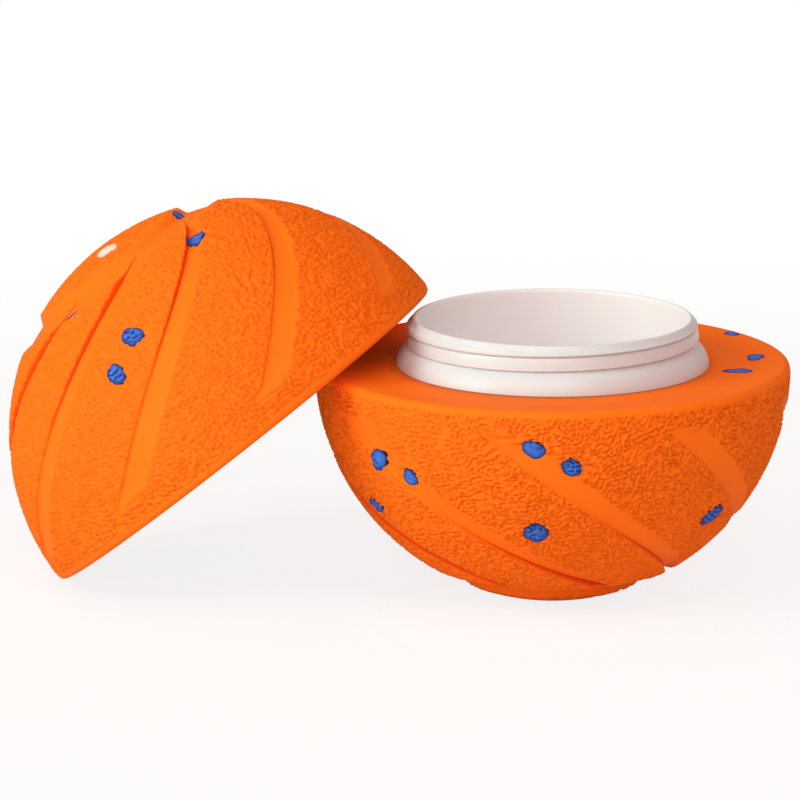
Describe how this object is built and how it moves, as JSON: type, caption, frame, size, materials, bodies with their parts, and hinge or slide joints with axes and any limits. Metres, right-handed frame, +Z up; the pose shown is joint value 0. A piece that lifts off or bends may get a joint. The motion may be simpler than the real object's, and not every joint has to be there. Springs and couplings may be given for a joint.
{
  "type": "dog toy ball",
  "caption": "Ball-shaped dog toy that unscrews: a grooved rubber lower half holding a threaded plastic jar for treats, with its grooved rubber screw lid leaning against it.",
  "frame": {"origin": "middle of the flat foot under the lower half", "axes": "+Z up through the jar's mouth, the lid leans to -X, the picture looks along +Y from a little to +X"},
  "size_m": [0.1265, 0.076, 0.0619],
  "materials": {
    "orange_rubber": "matte, moulded worm texture",
    "blue_rubber": "matte, moulded worm texture",
    "white_rubber": "matte",
    "white_plastic": "moulded, satin",
    "grey_silicone": "matte"
  },
  "bodies": {
    "lower_half": {"lower_shell": "orange_rubber", "jar": "white_plastic", "blue_fleck_lower_01": "blue_rubber", "blue_fleck_lower_02": "blue_rubber", "blue_fleck_lower_03": "blue_rubber", "blue_fleck_lower_04": "blue_rubber", "blue_fleck_lower_05": "blue_rubber", "blue_fleck_lower_06": "blue_rubber", "blue_fleck_lower_07": "blue_rubber", "blue_fleck_lower_08": "blue_rubber", "blue_fleck_lower_09": "blue_rubber", "blue_fleck_lower_10": "blue_rubber", "blue_fleck_lower_11": "blue_rubber", "blue_fleck_lower_12": "blue_rubber", "blue_fleck_lower_13": "blue_rubber", "blue_fleck_lower_14": "blue_rubber", "blue_fleck_lower_15": "blue_rubber", "blue_fleck_lower_16": "blue_rubber", "blue_fleck_lower_17": "blue_rubber", "blue_fleck_lower_18": "blue_rubber", "blue_fleck_lower_19": "blue_rubber", "blue_fleck_lower_20": "blue_rubber"},
    "seal_ring": {"lid_seal": "grey_silicone"},
    "lid": {"upper_shell": "orange_rubber", "lid_liner": "white_plastic", "white_fleck_upper": "white_rubber", "blue_fleck_upper_01": "blue_rubber", "blue_fleck_upper_02": "blue_rubber", "blue_fleck_upper_03": "blue_rubber", "blue_fleck_upper_04": "blue_rubber", "blue_fleck_upper_05": "blue_rubber", "blue_fleck_upper_06": "blue_rubber", "blue_fleck_upper_07": "blue_rubber", "blue_fleck_upper_08": "blue_rubber", "blue_fleck_upper_09": "blue_rubber", "blue_fleck_upper_10": "blue_rubber"}
  },
  "joints": [
    {"name": "lid_swing", "type": "hinge", "parent": "lower_half", "child": "seal_ring", "pos_m": [0.01667, 0, -0.03264], "axis": [0, 1, 0], "range_deg": [0, 39]},
    {"name": "lid_turn", "type": "hinge", "parent": "seal_ring", "child": "lid", "pos_m": [-0.0506, 0, 0.02394], "axis": [-0.6293, 0, 0.7771], "continuous": true}
  ]
}
